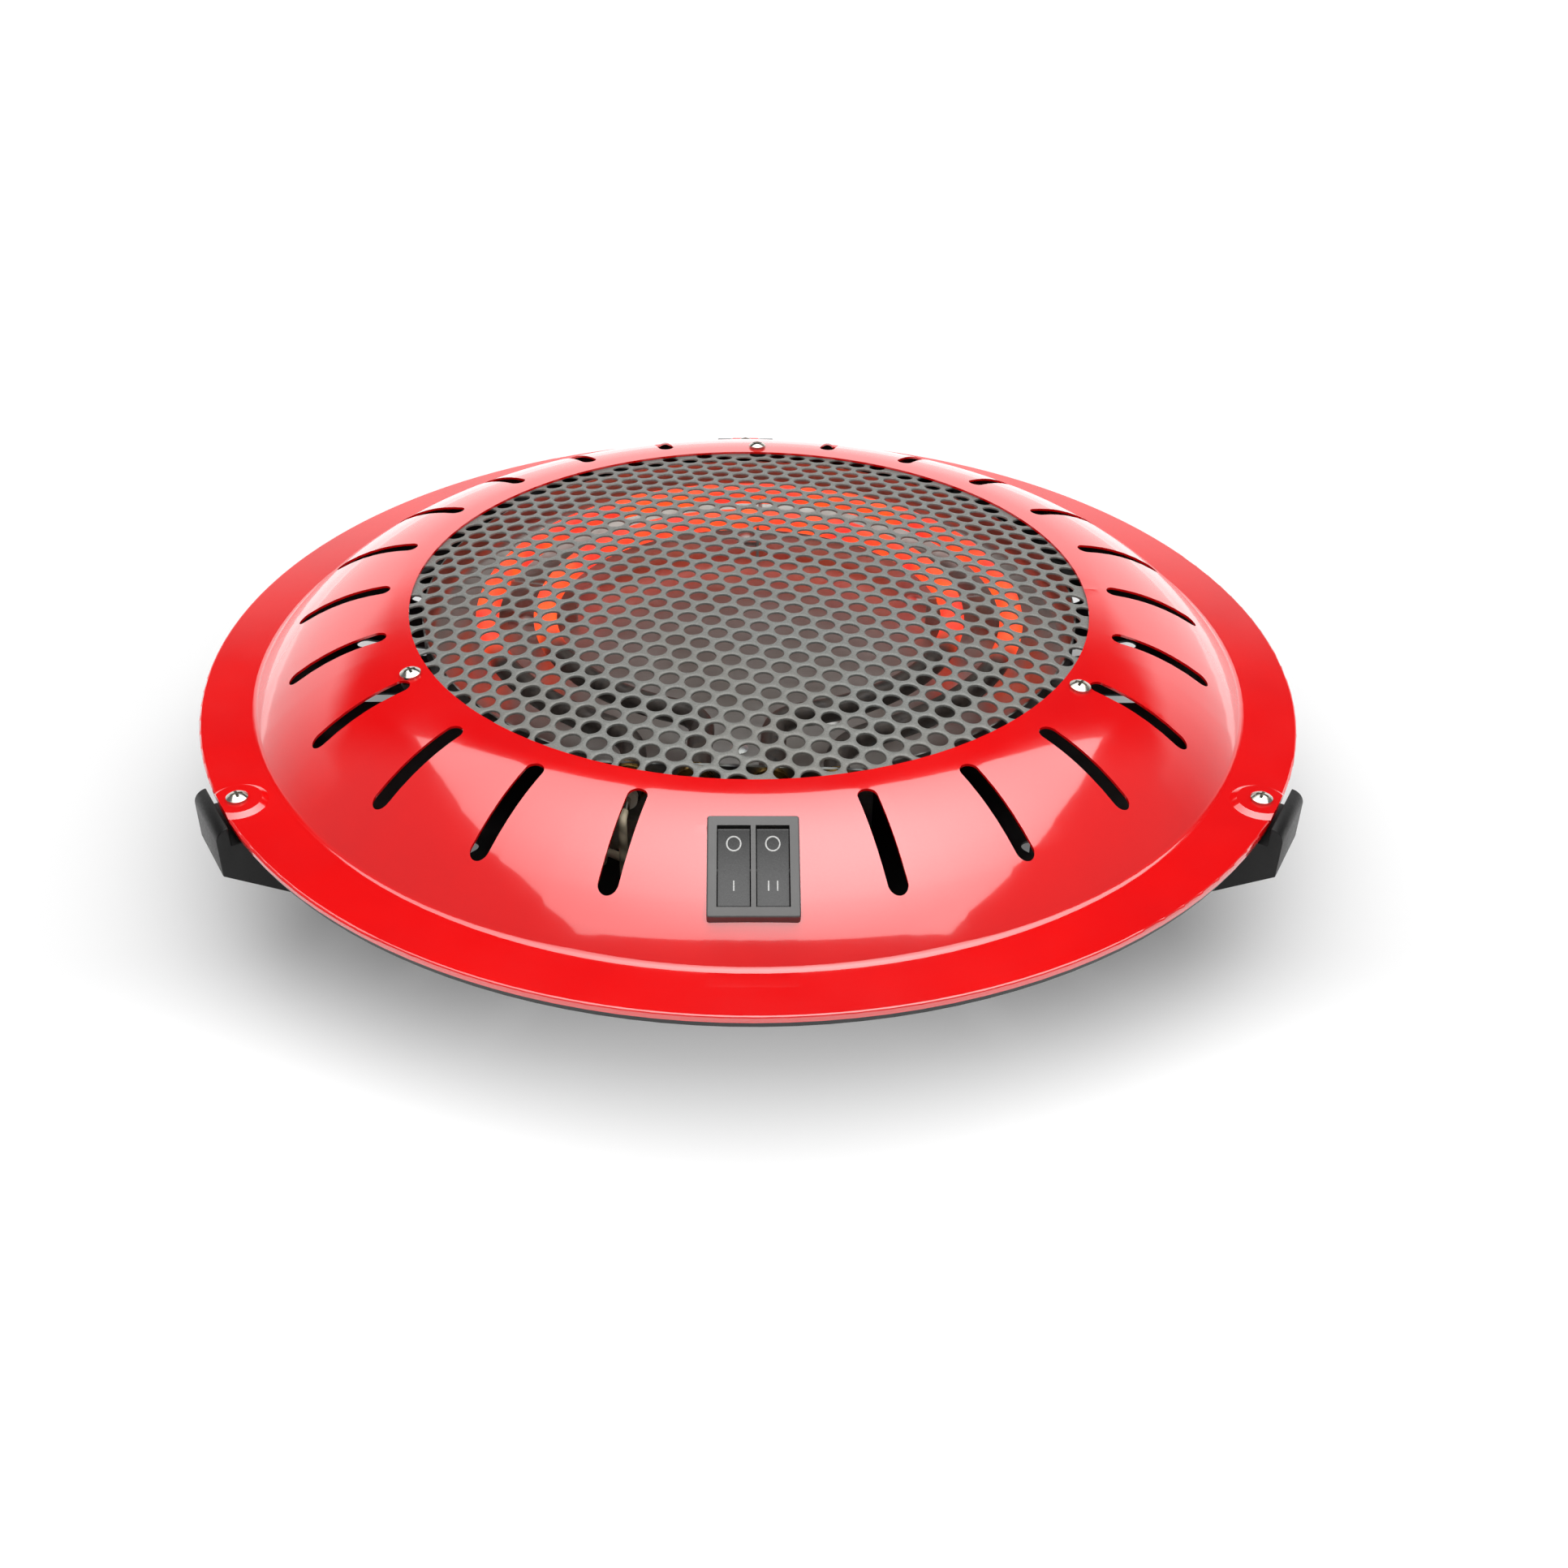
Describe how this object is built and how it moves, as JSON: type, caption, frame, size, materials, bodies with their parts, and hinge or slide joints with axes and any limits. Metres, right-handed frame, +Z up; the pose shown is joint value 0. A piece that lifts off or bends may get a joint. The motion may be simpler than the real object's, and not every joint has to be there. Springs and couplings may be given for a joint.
{
  "type": "electric brazier",
  "caption": "Low round electric brazier with a domed slotted cover, a perforated grille over ring elements, a double rocker switch and moulded feet.",
  "frame": {"origin": "on the floor, on the axis of the round cover", "axes": "+Z up along the axis of the cover; -Y towards the switch at the front; +X to the right as seen from the front"},
  "size_m": [0.38, 0.3854, 0.09],
  "materials": {
    "red_enamel": "gloss red stove enamel on pressed steel",
    "grey_enamel": "satin grey coating on perforated steel",
    "black_enamel": "satin black enamel on pressed steel",
    "black_moulding": "satin black moulding",
    "nickel": "bright nickel plate",
    "zinc_steel": "dull zinc plate",
    "bright_aluminium": "bright rolled sheet",
    "element_sheath": "oxidised sheath, red hot over the rings",
    "bead_ceramic": "unglazed white ceramic",
    "brass": "plain brass",
    "white_moulding": "natural white moulding",
    "switch_moulding": "satin dark grey moulding",
    "rocker_moulding": "semi-gloss black moulding with printed marks",
    "lead_sleeve": "braided heat-resistant sleeving"
  },
  "bodies": {
    "heater": {"top_cover": "red_enamel", "grille": "grey_enamel", "grille_screws": "nickel", "grille_nuts": "zinc_steel", "base_pan": "black_enamel", "boss_spacers": "zinc_steel", "foot_rear": "black_moulding", "foot_left": "black_moulding", "foot_right": "black_moulding", "rim_screws": "nickel", "foot_screws": "zinc_steel", "reflector": "bright_aluminium", "standoffs": "zinc_steel", "standoff_screws": "zinc_steel", "outer_element": "element_sheath", "inner_element": "element_sheath", "element_pins": "nickel", "element_beads": "bead_ceramic", "element_bushes": "brass", "element_bracket": "zinc_steel", "element_supports": "zinc_steel", "heater_rivets": "bright_aluminium", "thermal_cutout": "bead_ceramic", "terminal_block": "white_moulding", "block_screws": "brass", "cord_gland": "black_moulding", "gland_nut": "black_moulding", "switch_housing": "switch_moulding", "switch_fulcrums": "brass", "switch_contacts": "brass", "lead_outer_live": "lead_sleeve", "lead_inner_live": "lead_sleeve", "lead_outer_return": "lead_sleeve", "lead_inner_return": "lead_sleeve", "lead_feed": "lead_sleeve", "lead_common": "lead_sleeve"},
    "rocker_left": {"rocker_left": "rocker_moulding", "plunger_left": "white_moulding"},
    "lever_left": {"contact_lever_left": "brass"},
    "rocker_right": {"rocker_right": "rocker_moulding", "plunger_right": "white_moulding"},
    "lever_right": {"contact_lever_right": "brass"}
  },
  "joints": [
    {"name": "rocker_left_hinge", "type": "hinge", "parent": "heater", "child": "rocker_left", "pos_m": [-0.00545, -0.14809, 0.07283], "axis": [-1, 0, 0], "range_deg": [0, 13]},
    {"name": "lever_left_hinge", "type": "hinge", "parent": "heater", "child": "lever_left", "pos_m": [-0.00545, -0.14339, 0.06378], "axis": [1, 0, 0], "range_deg": [0, 10]},
    {"name": "rocker_right_hinge", "type": "hinge", "parent": "heater", "child": "rocker_right", "pos_m": [0.00545, -0.14809, 0.07283], "axis": [-1, 0, 0], "range_deg": [0, 13]},
    {"name": "lever_right_hinge", "type": "hinge", "parent": "heater", "child": "lever_right", "pos_m": [0.00545, -0.14339, 0.06378], "axis": [1, 0, 0], "range_deg": [0, 10]}
  ],
  "couplings": [
    {"joint": "lever_left_hinge", "follows": "rocker_left_hinge", "ratio": 0.769},
    {"joint": "lever_right_hinge", "follows": "rocker_right_hinge", "ratio": 0.769}
  ]
}
